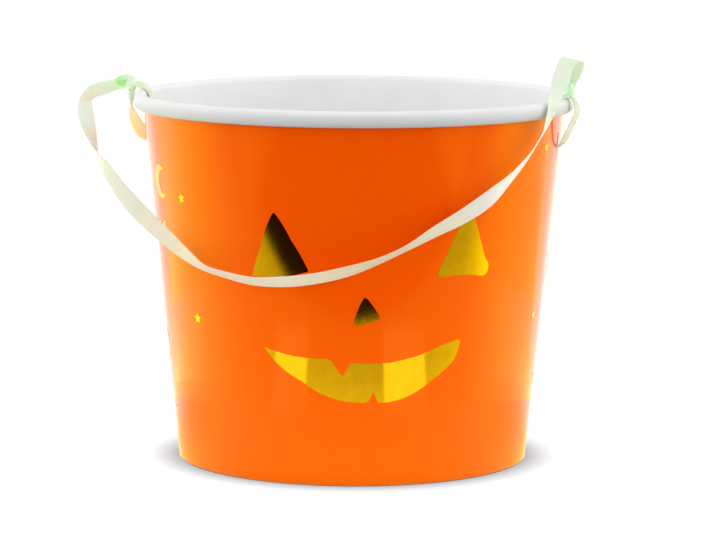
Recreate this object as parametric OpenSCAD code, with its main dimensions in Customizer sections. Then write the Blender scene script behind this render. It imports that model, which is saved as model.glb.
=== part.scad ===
// Paperboard party pail with a rolled rim, a gold foil lantern face and a satin ribbon handle.
// Millimetres, +Z up. The origin is the centre of the foot, and the face looks along -Y.

/* [Pail] */
// Height from the foot to the top of the rolled rim
pail_h = 135; // [115:1:160]
// Diameter over the rolled rim
rim_d = 162; // [150:1:180]
// Diameter of the printed wall at the foot
foot_d = 128.8; // [118:0.2:138]

/* [Board] */
// Thickness of the coated board of the wall
board_t = 0.5; // [0.4:0.05:0.7]
// Thickness of the printed paper on the outside of the wall
print_t = 0.15; // [0.1:0.01:0.25]
// Direction of the wall's seam, in degrees from the front
seam_az = 100; // [90:5:180]
// Overlap of the two ends of the wall at the seam
lap_w = 8; // [5:0.5:12]
// Gap between the two ends of the printed paper at the seam
print_seam_w = 0.4; // [0.2:0.1:1]
// How far the printed paper stops above the table
print_lift = 0.3; // [0.2:0.05:1]

/* [Rim] */
// Height of the rolled rim
roll_h = 5.8; // [5:0.1:8]
// Width of the rolled rim, measured outwards
roll_w = 4.1; // [3.4:0.1:4.8]
// Gap between the wall and the raw edge of the roll
roll_mouth = 0.9; // [0.6:0.1:1.2]

/* [Floor] */
// Thickness of the floor disc and its skirt
floor_t = 0.5; // [0.4:0.05:0.7]
// Height of the underside of the floor above the table
floor_lift = 9; // [7:0.5:14]
// Height of the wall's hem, folded in round the skirt
hem_h = 7; // [5:0.5:9]
// Clearance between the pressed layers at the foot
press_gap = 0.05; // [0.03:0.01:0.1]

/* [Ribbon slots] */
// Direction of the right slot, in degrees from the front
slot_right_az = 75; // [65:1:90]
// Direction of the left slot, in degrees from the front
slot_left_az = -98; // [-105:1:-90]
// Width of each slot
slot_w = 2.5; // [1.5:0.1:4]
// Height of each slot
slot_h = 10; // [8:0.5:12]
// Distance from the top of the rim down to the middle of each slot
slot_drop = 17.5; // [14:0.5:22]

/* [Foil] */
// Thickness of the gold foil
foil_t = 0.08; // [0.05:0.01:0.15]
// Width of each eye
eye_w = 21; // [16:0.5:26]
// Height of each eye
eye_h = 23.5; // [18:0.5:28]
// Height of the eyes above the table
eye_lift = 75; // [70:0.5:80]
// Width of the nose
nose_w = 8.8; // [7:0.2:12]
// Height of the nose
nose_h = 10; // [8:0.2:12]
// Height of the nose above the table
nose_lift = 58.8; // [56:0.2:62]
// Width of the mouth
mouth_w = 69; // [60:1:76]
// Height of the mouth
mouth_h = 21.5; // [18:0.5:24]
// Height of the mouth above the table
mouth_lift = 30.6; // [26:0.2:34]
// Diameter of the crescent moons
moon_d = 12.4; // [9:0.2:15]
// Diameter round the points of the small stars
star_d = 4.2; // [2.6:0.1:5]

/* [Ribbon] */
// Width of the satin ribbon
ribbon_w = 6; // [5:0.1:6.5]
// Thickness of the satin ribbon
ribbon_t = 0.3; // [0.2:0.05:0.4]

// Diameter of each tied knot
knot_d = 4.2; // [3.6:0.1:5]
// Width of the folded ribbon in each wrap of a knot
knot_wrap_w = 3.4; // [2.4:0.1:4]
// Width of the folded tail that leaves each knot
tail_w = 3.4; // [2.4:0.2:6]
// Length of the tail from the middle of its knot
tail_l = 8; // [5:0.5:12]
// How far the tails droop below level, in degrees
tail_droop = 6; // [0:1:8]

/* [Hidden] */

// Fine enough for every round face of the pail
$fn = 96;
// How far a cut runs past the face that it opens
overrun = 1;

// Heights and radii of the wall, measured on the outside of the printed paper
foot_r = foot_d/2;
rim_r = rim_d/2;
wall_top_z = pail_h - roll_h;
wall_top_r = rim_r - roll_w + board_t + print_t;
wall_slope = (wall_top_r - foot_r)/wall_top_z;
function wall_r(z) = foot_r + wall_slope*z;

// Depths of the pressed layers at the foot, inwards from the printed face
board_out = print_t;
board_in = board_out + board_t;
skirt_out = board_in + press_gap;
skirt_in = skirt_out + floor_t;
hem_out = skirt_in + press_gap;
hem_in = hem_out + board_t;
// Height of the cut corner under the wall's outer edge
foot_corner = board_t/2;
// Radii at the two ends of the roll's cross-section
roll_r = roll_w/2;
roll_mid_r = rim_r - roll_r;
// The seam's inner lap starts above the floor and stops under the rim
lap_foot = floor_lift + floor_t + print_lift;
lap_deg = lap_w/wall_r(pail_h/2)*180/PI;
slot_z = pail_h - slot_drop;

// Directions of the printed figures, in degrees from the front
left_eye_az = -21;
right_eye_az = 33;
nose_az = 4;
mouth_az = 3;

// Corners of each figure, anticlockwise, as shares of its width and height, then how far the edge
// to the next corner bulges outwards, as a share of that edge's length
left_eye_shares = [[-0.49, 0.01, 0.05], [0.5, 0.12, 0.1], [0.49, 0.17, 0.02], [0.22, 0.6, 0.03],
                   [-0.04, 0.98, 0.3], [-0.1, 0.97, 0.03], [-0.32, 0.5, 0.01], [-0.5, 0.05, 0.2]];
right_eye_shares = [[-0.5, 0.05, 0.2], [-0.38, 0.02, -0.04], [0.34, -0.01, 0.15], [0.49, 0.04, 0.2],
                    [0.46, 0.2, 0.01], [0.22, 0.56, 0.04], [0.06, 0.98, 0.3], [0, 0.97, 0.05],
                    [-0.3, 0.5, 0.01], [-0.51, 0.09, 0.2]];
nose_shares = [[-0.5, 0.06, 0.2], [-0.2, 0.04, 0.03], [0.52, 0.22, 0.25], [0.51, 0.31, 0.03],
               [0.13, 0.82, 0.06], [-0.05, 0.99, 0.25], [-0.14, 0.97, 0.04], [-0.52, 0.12, 0.25]];
mouth_shares = [[-0.5, 0.89, 0.07], [-0.31, 0.35, 0.04], [-0.165, 0.09, 0.05], [-0.02, 0.015, 0.15],
                [0.032, 0.04, 0.03], [0.054, 0.19, -0.02], [0.076, 0.03, 0.12], [0.095, 0.005, 0.04],
                [0.195, 0.055, 0.05], [0.35, 0.33, 0.03], [0.475, 0.665, 0.03], [0.507, 0.97, 0.3],
                [0.48, 1, 0.02], [0.295, 0.79, -0.01], [0.14, 0.68, -0.02], [-0.045, 0.68, 0.15],
                [-0.07, 0.64, -0.03], [-0.104, 0.455, -0.03], [-0.155, 0.69, 0.1], [-0.19, 0.745, -0.05]];
// Straight steps in each bowed edge
bow_steps = 6;

// Places of the moons: degrees from the front, height share of the wall, tilt in degrees
moon_shares = [[-68.6, 0.81, 0], [84, 0.55, 170], [112, 0.86, 20], [138, 0.36, -160], [166, 0.7, 12],
               [-84, 0.33, 200], [-128, 0.62, -10], [-152, 0.25, 165]];
// Places of the stars: degrees from the front, height share of the wall, turn in degrees
star_shares = [[-55.6, 0.775, 10], [-68.5, 0.69, 24], [-52.5, 0.44, 0], [-76, 0.145, 15], [65, 0.915, 5],
               [69.5, 0.435, 12], [95, 0.7, 20], [107, 0.3, 8], [92, 0.13, 30], [127, 0.6, 14],
               [124, 0.18, 2], [146, 0.84, 22], [151, 0.53, 9], [170, 0.42, 28], [160, 0.12, 16],
               [-172, 0.88, 4], [-171, 0.2, 21], [-158, 0.52, 11], [-143, 0.8, 26], [-136, 0.38, 6],
               [-121, 0.14, 18], [-116, 0.77, 3], [-108, 0.47, 13], [-92, 0.61, 25], [-90, 0.88, 7],
               [80, 0.24, 19]];
// The hollow of a moon: its diameter and its offset as shares of the moon's diameter
moon_hollow_share = 0.82;
moon_offset_share = 0.2;
// The inner corners of a star as a share of its radius
star_waist_share = 0.46;
star_points = 5;

// Route of the handle from the left knot round the front to the right side of the rim: the
// middle of the ribbon, the yaw and tilt of its width in degrees, and the share of its width
handle_route = [
    [-86.8, 9.5, 136.9, 85, -40, 0.8], [-89, 10.5, 136.5, 80, -43, 0.9], [-93, 11, 134.8, 65, -58, 1],
    [-97, 11, 133.8, 60, -55, 1], [-99, 10.5, 131.7, 50, -25, 1], [-100, 9.5, 128.7, 30, -5, 1],
    [-99.5, 8, 125.1, 25, 0, 1], [-98.5, 5.5, 120.6, 45, 0, 1], [-96.5, 2.5, 115.5, 75, 0, 1],
    [-95, -1, 112, 90, 0, 1], [-91.5, -6.5, 106.5, 110, -15, 1], [-85, -15, 99.5, 145, -40, 1],
    [-77.5, -25.5, 93, 180, -45, 1], [-69, -37, 87, 150, -45, 1], [-60, -48, 81, 115, -35, 1],
    [-52, -57.5, 77, 95, -15, 1], [-43.5, -66, 75.5, 95, -15, 1], [-34.5, -72, 74.5, 90, -35, 1],
    [-23.5, -76, 75, 85, -45, 1], [-13, -78, 76.5, 75, -45, 1], [-2, -78, 79, 70, -40, 1],
    [8.5, -77.5, 82.5, 75, -25, 1], [18.5, -76, 87, 75, -20, 1], [28.5, -73, 92.5, 65, -35, 1],
    [38.5, -68.5, 97.5, 45, -40, 1], [47.5, -63, 103, 40, -35, 1], [55.5, -57.5, 110, 50, -25, 1],
    [61.5, -53, 116.5, 65, -10, 1], [65, -49, 121.5, 75, -5, 1], [68, -45.5, 126.5, 65, -5, 1],
    [69.3, -43.8, 130, 50, -5, 1]];
// Route of the standing loop, from the handle's right end over its top to the right knot
loop_route = [
    [69.6, -43.3, 131, 50, -8, 1], [70.5, -42, 134.5, 40, -10, 1], [72, -39.5, 137.5, 25, -5, 1],
    [73, -36.5, 141, 25, -10, 1], [74, -33, 144, 25, -10, 1], [76, -28.5, 147, 15, -20, 1],
    [78.3, -23.5, 148.5, 25, -22, 1], [79.8, -19.5, 147.8, 35, -22, 1], [80.5, -17.8, 145, 45, -15, 0.9],
    [79.5, -18.2, 142, 55, -10, 0.8], [78, -20, 139, 65, -10, 0.7]];
// Routes of the two turns round the rim, drawn at the front and turned to their slots: down the
// outside from the knot, gathered in through the slot, up the inside and over the rim to the knot
turn_right_route = [
    [0, -81.8, 135.3, 0, 0, 0.6], [0, -83, 133.2, 8, 0, 0.9], [0, -83.4, 131.3, 15, 3, 1],
    [0, -82.9, 128.5, 20, 8, 1], [0, -81.7, 125.4, 22, 10, 1], [0, -80.5, 122.6, 25, 14, 0.95],
    [0, -79.4, 120.4, 40, 30, 0.8], [0, -78.2, 118.8, 70, 60, 0.6], [0, -76.6, 118, 50, 85, 0.45],
    [0, -75, 118, -30, 86, 0.35], [0, -73.9, 118.8, -30, 50, 0.4], [0, -73.5, 120.6, -15, 15, 0.7],
    [0, -73.8, 123, 0, 0, 1], [0, -74.6, 127, 0, 0, 1], [0, -75.3, 131, 0, 0, 1],
    [0, -76.2, 133.4, 0, 0, 1], [0, -77.1, 135, 0, 0, 0.9], [0, -79, 136, 0, 0, 0.7]];
turn_left_route = [
    [2.5, -83.7, 134.8, 0, 0, 0.6], [2.3, -83.6, 132.5, 5, 0, 0.8], [2, -83.4, 129.8, 20, 5, 0.9],
    [1.5, -82.9, 126.9, 45, 15, 1], [1, -82, 123.8, 70, 30, 1], [0.5, -80.6, 121.4, 90, 45, 1],
    [0, -79.2, 119.5, 90, 65, 0.7], [0, -78, 118.4, 80, 80, 0.5], [0, -76.2, 117.9, 0, 86, 0.4],
    [0, -74.8, 118.2, -30, 70, 0.35], [0.3, -73.8, 119.6, -25, 35, 0.5], [0.8, -73.6, 122, -10, 10, 0.8],
    [1.2, -74.1, 124.5, 0, 0, 1], [1.6, -74.8, 128, 0, 0, 1], [2, -75.4, 131.5, 0, 0, 1],
    [2, -76.2, 133.4, 0, 0, 1], [2.2, -77.1, 135, 0, 0, 1], [2.3, -79, 135.7, 0, 0, 1],
    [2.4, -80.8, 135.9, 0, 0, 0.9], [2.5, -82.4, 136.4, 0, 0, 0.7]];
// Middles of the two knots, drawn at the front and turned to their slots
knot_right_at = [0, -80.9, 137.4];
knot_left_at = [2.5, -84, 136.8];
// How far the two wraps of a knot lean apart, in degrees
knot_lean = 28;

// Rings between two points of a route
route_steps = 2;

// Points of one outline: each edge is a quadratic curve that bulges to its right
function bowed(a, b, bulge) = let(mid = (a + b)/2, right = [b[1] - a[1], a[0] - b[0]])
    [for (k = [0:bow_steps - 1]) let(s = k/bow_steps, c = mid + right*(2*bulge))
        a*(1 - s)*(1 - s) + c*2*s*(1 - s) + b*s*s];
function sized(share, size) = [share[0]*size[0], share[1]*size[1]];
function outline(shares, size) = [for (k = [0:len(shares) - 1])
    let(next = shares[(k + 1) % len(shares)])
    each bowed(sized(shares[k], size), sized(next, size), shares[k][2])];

// Smooth curve through a route's rows
function spline(a, b, c, d, s) = (b*2 + (c - a)*s + (a*2 - b*5 + c*4 - d)*s*s
    + (b*3 - a - c*3 + d)*s*s*s)/2;
function refined(route) = let(last = len(route) - 1) concat(
    [for (k = [0:last - 1]) for (n = [0:route_steps - 1])
        spline(route[max(k - 1, 0)], route[k], route[k + 1], route[min(k + 2, last)], n/route_steps)],
    [route[last]]);
function place(row) = [row[0], row[1], row[2]];
function unit(v) = v/norm(v);
function width_way(row) = [cos(row[3])*cos(row[4]), sin(row[3])*cos(row[4]), sin(row[4])];

// The ribbon's cross-section: eight points, thinner at its woven edges
selvedge_share = 0.5;
function ribbon_section(w, t) = let(edge = t*selvedge_share/2, shoulder = w/2 - t)
    [[w/2, -edge], [w/2, edge], [shoulder, t/2], [-shoulder, t/2],
     [-w/2, edge], [-w/2, -edge], [-shoulder, -t/2], [shoulder, -t/2]];
// A gathered ribbon is thicker, because its folds lie on each other
function gathered_t(share) = ribbon_t*(2 - share);
function ribbon_ring(rows, k) = let(
        ahead = place(rows[min(k + 1, len(rows) - 1)]), behind = place(rows[max(k - 1, 0)]),
        along = unit(ahead - behind), wide = width_way(rows[k]),
        across = unit(wide - along*(wide*along)), up = cross(along, across))
    [for (c = ribbon_section(ribbon_w*rows[k][5], gathered_t(rows[k][5])))
        place(rows[k]) + across*c[0] + up*c[1]];

// One flat ribbon swept along a route
module ribbon(route) {
    rows = refined(route);
    sides = len(ribbon_section(ribbon_w, ribbon_t));
    last = len(rows) - 1;
    points = [for (k = [0:last]) each ribbon_ring(rows, k)];
    // Both faces of the ribbon split along the same diagonal, so a twist keeps its thickness
    skin = [for (k = [0:last - 1]) for (n = [0:sides - 1])
        let(a = k*sides + n, b = k*sides + (n + 1) % sides)
        each n < sides/2 ? [[a, a + sides, b + sides], [a, b + sides, b]]
            : [[a, a + sides, b], [a + sides, b + sides, b]]];
    caps = [[for (n = [0:sides - 1]) n], [for (n = [sides - 1:-1:0]) last*sides + n]];
    polyhedron(points = points, faces = concat(skin, caps), convexity = 6);
}

// A layer of the wall between two depths, from one height to another
module wall_layer(outer, inner, low, high) {
    polygon([[wall_r(low) - inner, low], [wall_r(low) - outer, low],
             [wall_r(high) - outer, high], [wall_r(high) - inner, high]]);
}

// Cross-section of the roll: round at the top and the foot, straight between them
module roll_outline(r) {
    for (z = [pail_h - roll_r, pail_h - roll_h + roll_r]) translate([roll_mid_r, z]) circle(r);
    translate([roll_mid_r - r, pail_h - roll_h + roll_r]) square([2*r, roll_h - 2*roll_r]);
}

// The curled board of the rim, open at its foot beside the wall
module roll_section() {
    difference() {
        roll_outline(roll_r);
        roll_outline(roll_r - board_t);
        translate([0, wall_top_z - overrun]) square([wall_top_r - print_t + roll_mouth, roll_r + overrun]);
    }
    translate([wall_top_r - board_in, wall_top_z]) square([board_t, roll_r]);
}

// Both ribbon slots, cut through whatever wall they meet
module slot_cutters() {
    end_z = slot_h/2 - slot_w/2;
    reach = roll_w + overrun;
    for (az = [slot_right_az, slot_left_az])
        rotate([0, 0, az]) translate([0, reach - wall_r(slot_z), slot_z]) rotate([90, 0, 0])
        linear_extrude(height = 2*reach) {
            for (z = [-end_z, end_z]) translate([0, z]) circle(d = slot_w);
            translate([-slot_w/2, -end_z]) square([slot_w, 2*end_z]);
        }
}

// White coated board: one conical sheet, rolled at the rim and folded in at the foot
module sidewall() {
    color("whitesmoke") difference() {
        union() {
            rotate_extrude() {
                wall_layer(board_out, board_in, foot_corner, wall_top_z);
                polygon([[wall_r(0) - hem_in, 0], [wall_r(0) - board_out - foot_corner, 0],
                         [wall_r(foot_corner) - board_out, foot_corner],
                         [wall_r(board_t) - board_out, board_t], [wall_r(board_t) - hem_in, board_t]]);
                wall_layer(hem_out, hem_in, 0, hem_h);
                roll_section();
            }
            rotate([0, 0, seam_az - 90 - lap_deg/2]) rotate_extrude(angle = lap_deg)
                wall_layer(board_in - board_t/2, board_in + board_t, lap_foot, wall_top_z);
        }
        slot_cutters();
    }
}

// Orange printed paper, glued round the outside of the wall
module printed_wrap() {
    color("darkorange") difference() {
        rotate_extrude() wall_layer(0, board_out, print_lift, wall_top_z);
        slot_cutters();
        rotate([0, 0, seam_az]) translate([-print_seam_w/2, -rim_r, 0]) cube([print_seam_w, rim_r, pail_h]);
    }
}

// Recessed floor with its skirt held between the wall and the hem
module floor_disc() {
    skirt_foot = board_t + press_gap;
    floor_top = floor_lift + floor_t;
    color("white") rotate_extrude() polygon([
        [0, floor_lift], [wall_r(floor_lift) - skirt_in, floor_lift],
        [wall_r(skirt_foot) - skirt_in, skirt_foot], [wall_r(skirt_foot) - skirt_out, skirt_foot],
        [wall_r(floor_top) - skirt_out, floor_top], [0, floor_top]]);
}

// The thin layer of foil that lies on the printed paper
module foil_skin() {
    rotate_extrude() wall_layer(-foil_t, 0, print_lift, wall_top_z);
}

// Stamps a flat figure on the wall at a direction and a height
module stamp(az, z) {
    rotate([0, 0, az]) translate([0, -foot_r/2, z]) rotate([90, 0, 0])
        linear_extrude(height = rim_r) children();
}

module foil_figure(shares, size, az, lift) {
    color("gold") intersection() {
        foil_skin();
        stamp(az, lift) polygon(outline(shares, size));
    }
}

module foil_left_eye() { foil_figure(left_eye_shares, [eye_w, eye_h], left_eye_az, eye_lift); }
module foil_right_eye() { foil_figure(right_eye_shares, [eye_w, eye_h], right_eye_az, eye_lift); }
module foil_nose() { foil_figure(nose_shares, [nose_w, nose_h], nose_az, nose_lift); }
module foil_mouth() { foil_figure(mouth_shares, [mouth_w, mouth_h], mouth_az, mouth_lift); }

module moon_outline() {
    difference() {
        circle(d = moon_d);
        translate([moon_d*moon_offset_share, 0]) circle(d = moon_d*moon_hollow_share);
    }
}

module star_outline() {
    polygon([for (k = [0:2*star_points - 1])
        let(r = k % 2 == 0 ? star_d/2 : star_d/2*star_waist_share, turn = 90 + k*180/star_points)
        [r*cos(turn), r*sin(turn)]]);
}

// Crescent moons scattered over the sides and the back
module foil_moons() {
    color("gold") intersection() {
        foil_skin();
        for (m = moon_shares) stamp(m[0], m[1]*wall_top_z) rotate(m[2]) moon_outline();
    }
}

// Small five-pointed stars between the moons
module foil_stars() {
    color("gold") intersection() {
        foil_skin();
        for (s = star_shares) stamp(s[0], s[1]*wall_top_z) rotate(s[2]) star_outline();
    }
}

// The free span of the ribbon, hanging across the front
module ribbon_handle() { color("beige") ribbon(handle_route); }

// The loop that stands over the right knot
module ribbon_loop_right() { color("beige") ribbon(loop_route); }

// A ribbon tied on itself: a tight middle, two crossed wraps round it and a cut tail to one side
module knot(at, az, tail_turn) {
    wrap_r = knot_d/2;
    rotate([0, 0, az]) translate(at) {
        sphere(wrap_r - ribbon_t);
        for (lean = [-knot_lean, knot_lean]) rotate([0, lean, 0]) rotate_extrude()
            translate([wrap_r - 2*ribbon_t, -knot_wrap_w/2]) square([2*ribbon_t, knot_wrap_w]);
        rotate([0, tail_turn, 0]) translate([0, -tail_w/2, -ribbon_t/2]) cube([tail_l, tail_w, ribbon_t]);
    }
}

module ribbon_knot_left() { color("palegreen") knot(knot_left_at, slot_left_az, 180 - tail_droop); }
module ribbon_knot_right() { color("palegreen") knot(knot_right_at, slot_right_az, tail_droop); }

// The ribbon's turn round the rim, in through a slot and back over the top
module ribbon_turn(route, az) { rotate([0, 0, az]) ribbon(route); }

module ribbon_turn_left() { color("beige") ribbon_turn(turn_left_route, slot_left_az); }
module ribbon_turn_right() { color("beige") ribbon_turn(turn_right_route, slot_right_az); }

sidewall();
printed_wrap();
floor_disc();
foil_left_eye();
foil_right_eye();
foil_nose();
foil_mouth();
foil_moons();
foil_stars();
ribbon_handle();
ribbon_loop_right();
ribbon_knot_left();
ribbon_knot_right();
ribbon_turn_left();
ribbon_turn_right();
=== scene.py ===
"""Pumpkin candy pail: a paperboard tub with a rolled rim, a foil lantern face and a satin ribbon handle.

The pieces are modelled in millimetres and scaled to metres when each is finished.
"""
import logging
import math
from dataclasses import dataclass
from enum import Enum
from typing import Iterable, Sequence

import bmesh
import bpy
from bmesh.types import BMesh, BMVert
from bpy.types import Material, Node, NodeSocket, NodeTree, Object
from mathutils import Matrix, Vector


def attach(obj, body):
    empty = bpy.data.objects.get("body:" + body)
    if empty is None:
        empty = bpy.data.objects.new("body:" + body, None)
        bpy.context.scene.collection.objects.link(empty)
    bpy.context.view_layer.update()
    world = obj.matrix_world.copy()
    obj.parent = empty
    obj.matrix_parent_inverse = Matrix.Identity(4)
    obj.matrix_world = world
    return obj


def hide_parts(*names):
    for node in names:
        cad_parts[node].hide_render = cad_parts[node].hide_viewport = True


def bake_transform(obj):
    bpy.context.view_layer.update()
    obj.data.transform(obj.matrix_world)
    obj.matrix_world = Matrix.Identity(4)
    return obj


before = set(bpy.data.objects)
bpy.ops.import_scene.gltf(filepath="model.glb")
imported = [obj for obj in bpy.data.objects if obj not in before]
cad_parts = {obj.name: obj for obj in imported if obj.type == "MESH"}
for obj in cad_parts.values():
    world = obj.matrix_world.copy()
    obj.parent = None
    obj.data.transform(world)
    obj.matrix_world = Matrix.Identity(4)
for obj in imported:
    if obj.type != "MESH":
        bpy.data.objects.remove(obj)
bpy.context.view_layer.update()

log = logging.getLogger("pail")

Row = tuple[float, float, float, float, float, float]
Point = tuple[float, float]
Place = tuple[float, float, float]
Glow = tuple[float, float, str]
METRES = 0.001
WELD_MM = 0.001


class Body(Enum):
    """The CAD bodies that a piece can ride on."""
    PAIL = "pail"
    HANDLE = "handle"


class Slot(Enum):
    """The record's material slots."""
    BOARD = "white_board"
    PRINT = "orange_print"
    FOIL = "gold_foil"
    RIBBON = "satin_ribbon"


# ---------------------------------------------------------------- small tools


def linear(hex_colour: str) -> tuple[float, float, float, float]:
    """Turns an sRGB hex colour into linear values for a shader.

    Args:
        hex_colour: Six hex digits, with or without a leading hash.

    Returns:
        Linear red, green, blue and an alpha of one.
    """
    digits = hex_colour.lstrip("#")
    parts = [int(digits[k:k + 2], 16) / 255 for k in (0, 2, 4)]
    return (*[p / 12.92 if p <= 0.04045 else ((p + 0.055) / 1.055) ** 2.4 for p in parts], 1.0)


def feed(node: Node, inputs: dict) -> None:
    """Sets or links a node's input sockets.

    Args:
        node: The node.
        inputs: Socket name or number to a value, to the output socket that feeds it, or to a node whose
            first output does.
    """
    for key, value in inputs.items():
        source = value.outputs[0] if isinstance(value, Node) else value
        if isinstance(source, NodeSocket):
            node.id_data.links.new(source, node.inputs[key])
        else:
            node.inputs[key].default_value = source


def add_node(tree: NodeTree, kind: str, inputs: dict | None = None, **settings: object) -> Node:
    """Adds a shader node with its settings, socket values and links.

    Args:
        tree: The node tree that takes the node.
        kind: Blender's name for the kind of node, without ShaderNode in front.
        inputs: What its input sockets take, as for feed.
        **settings: Attributes to set on the node.

    Returns:
        The new node.
    """
    made = tree.nodes.new("ShaderNode" + kind)
    for name, value in settings.items():
        setattr(made, name, value)
    feed(made, inputs or {})
    return made


def limits(kind: str, pair: Point) -> dict:
    """The inputs that set one range of a Map Range node, From or To."""
    return {kind + " Min": pair[0], kind + " Max": pair[1]}


def set_stops(ramp: Node, stops: Sequence[tuple[float, tuple]]) -> None:
    """Replaces the stops of a colour ramp.

    Args:
        ramp: The colour ramp node.
        stops: Position and linear colour of each stop, in order.
    """
    elements = ramp.color_ramp.elements
    while len(elements) > 1:
        elements.remove(elements[-1])
    elements[0].position, elements[0].color = stops[0]
    for position, colour in stops[1:]:
        elements.new(position).color = colour


def new_material(name: str, kind: str = "BsdfPrincipled") -> tuple[Material, NodeTree, Node]:
    """Starts an empty material that ends in one shader.

    Args:
        name: The material's name.
        kind: The kind of its shader.

    Returns:
        The material, its node tree and its shader.
    """
    made = bpy.data.materials.new(name)
    made.use_nodes = True
    tree = made.node_tree
    tree.nodes.clear()
    shader = add_node(tree, kind)
    add_node(tree, "OutputMaterial", {"Surface": shader})
    return made, tree, shader


def placed(work: BMesh, name: str, material: Material | None = None) -> Object:
    """Turns a modelled mesh into an object of the scene.

    Args:
        work: The mesh; it is freed.
        name: The object's name.
        material: Its material.

    Returns:
        The object, at the origin.
    """
    mesh = bpy.data.meshes.new(name)
    work.to_mesh(mesh)
    work.free()
    if material:
        mesh.materials.append(material)
    made = bpy.data.objects.new(name, mesh)
    bpy.context.scene.collection.objects.link(made)
    return made


def finished(work: BMesh, name: str, material: Material, body: Body | None,
             nodes: Sequence[str] = (), crease_deg: float = 35.0) -> Object:
    """Makes a piece from its modelled mesh, dresses it and ties it to the frame.

    Args:
        work: The mesh in millimetres; it is freed.
        name: The piece's name.
        material: The finish of the whole piece.
        body: The CAD body that carries the piece, or None for one that is tied to no body.
        nodes: CAD nodes that the piece stands for.
        crease_deg: Edges that bend by more than this stay sharp.

    Returns:
        The finished object.
    """
    bmesh.ops.scale(work, vec=(METRES, METRES, METRES), verts=work.verts)
    for face in work.faces:
        face.smooth = True
    limit = math.radians(crease_deg)
    for edge in work.edges:
        if len(edge.link_faces) == 2:
            edge.smooth = edge.calc_face_angle(0.0) < limit
    piece = placed(work, name, material)
    if body is not None:
        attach(piece, body.value)
    if nodes:
        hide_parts(*nodes)
    log.info("%s: %d faces, rides on %s", name, len(piece.data.polygons),
             body.value if body else "two bodies")
    return piece


def arc(centre: Point, radius: float, start_deg: float, end_deg: float, steps: int) -> list[Point]:
    """Points along a circular arc in the plane of a profile.

    Args:
        centre: Radius and height of the arc's centre.
        radius: The arc's radius.
        start_deg: Direction of the first point, anticlockwise from outwards.
        end_deg: Direction of the last point.
        steps: Number of straight steps.

    Returns:
        The points, with both ends.
    """
    turns = [math.radians(start_deg + (end_deg - start_deg) * k / steps) for k in range(steps + 1)]
    return [(centre[0] + radius * math.cos(t), centre[1] + radius * math.sin(t)) for t in turns]


def turn_about(work: BMesh, verts: Sequence, turn_deg: float, axis: str = "Z") -> None:
    """Turns vertices of a mesh about an axis through the origin.

    Args:
        work: The mesh.
        verts: Its vertices that turn.
        turn_deg: The angle.
        axis: The axis's letter.
    """
    bmesh.ops.rotate(work, verts=verts, matrix=Matrix.Rotation(math.radians(turn_deg), 3, axis))


def spun(path: Sequence[Point], steps: int, closed: bool = False, start_deg: float = 0.0,
         turn_deg: float = 360.0) -> BMesh:
    """Spins a profile of radius and height round the pail's axis.

    Args:
        path: The profile's points.
        steps: Steps round the axis.
        closed: Whether the last point joins the first.
        start_deg: Direction of the first copy, in degrees from the front.
        turn_deg: How far the spin goes.

    Returns:
        A mesh in millimetres with its faces turned outwards.
    """
    work = bmesh.new()
    verts = [work.verts.new((0.0, -radius, height)) for radius, height in path]
    pairs = list(zip(verts, verts[1:])) + ([(verts[-1], verts[0])] if closed else [])
    edges = [work.edges.new(pair) for pair in pairs]
    turn_about(work, verts, start_deg)
    whole = turn_deg >= 360.0
    bmesh.ops.spin(work, geom=verts + edges, cent=(0, 0, 0), axis=(0, 0, 1), dvec=(0, 0, 0),
                   angle=math.radians(turn_deg), steps=steps, use_merge=whole, use_duplicate=False)
    bmesh.ops.remove_doubles(work, verts=work.verts, dist=WELD_MM)
    if closed and not whole:
        bmesh.ops.holes_fill(work, edges=[e for e in work.edges if e.is_boundary], sides=0)
    bmesh.ops.recalc_face_normals(work, faces=work.faces)
    return work


def pushed(work: BMesh, faces: Sequence) -> list[BMVert]:
    """Extrudes faces, keeps the old ones, and returns the new vertices, which haven't moved yet."""
    made = bmesh.ops.extrude_face_region(work, geom=faces, use_keep_orig=True)
    return [thing for thing in made["geom"] if isinstance(thing, BMVert)]


def merge(part: BMesh, whole: BMesh) -> None:
    """Adds one mesh to another.

    Args:
        part: The mesh that is added; it is freed.
        whole: The mesh that takes it.
    """
    mesh = bpy.data.meshes.new("merge")
    part.to_mesh(mesh)
    part.free()
    whole.from_mesh(mesh)
    bpy.data.meshes.remove(mesh)


def cut_away(piece_work: BMesh, cutter_work: BMesh) -> BMesh:
    """Subtracts one closed mesh from another.

    Args:
        piece_work: The mesh that is cut; it is freed.
        cutter_work: The mesh that cuts; it is freed.

    Returns:
        The cut mesh.
    """
    piece, cutter = placed(piece_work, "cut_piece"), placed(cutter_work, "cut_tool")
    change = piece.modifiers.new("cut", "BOOLEAN")
    change.operation, change.object, change.solver = "DIFFERENCE", cutter, "EXACT"
    result = bmesh.new()
    result.from_object(piece, bpy.context.evaluated_depsgraph_get())
    for thing in (piece, cutter):
        mesh = thing.data
        bpy.data.objects.remove(thing)
        bpy.data.meshes.remove(mesh)
    return result


# ------------------------------------------------------------------ finishes


@dataclass(frozen=True)
class Grain:
    """Noise in a finish: the size of its grains in real millimetres, its detail and its roughness."""
    size_mm: float
    detail: float
    rough: float = 0.5

    def inputs(self, place: NodeSocket) -> dict:
        """The inputs of a noise node that reads a place in metres."""
        return {"Vector": place, "Scale": 1 / (self.size_mm * METRES), "Detail": self.detail,
                "Roughness": self.rough}


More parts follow.
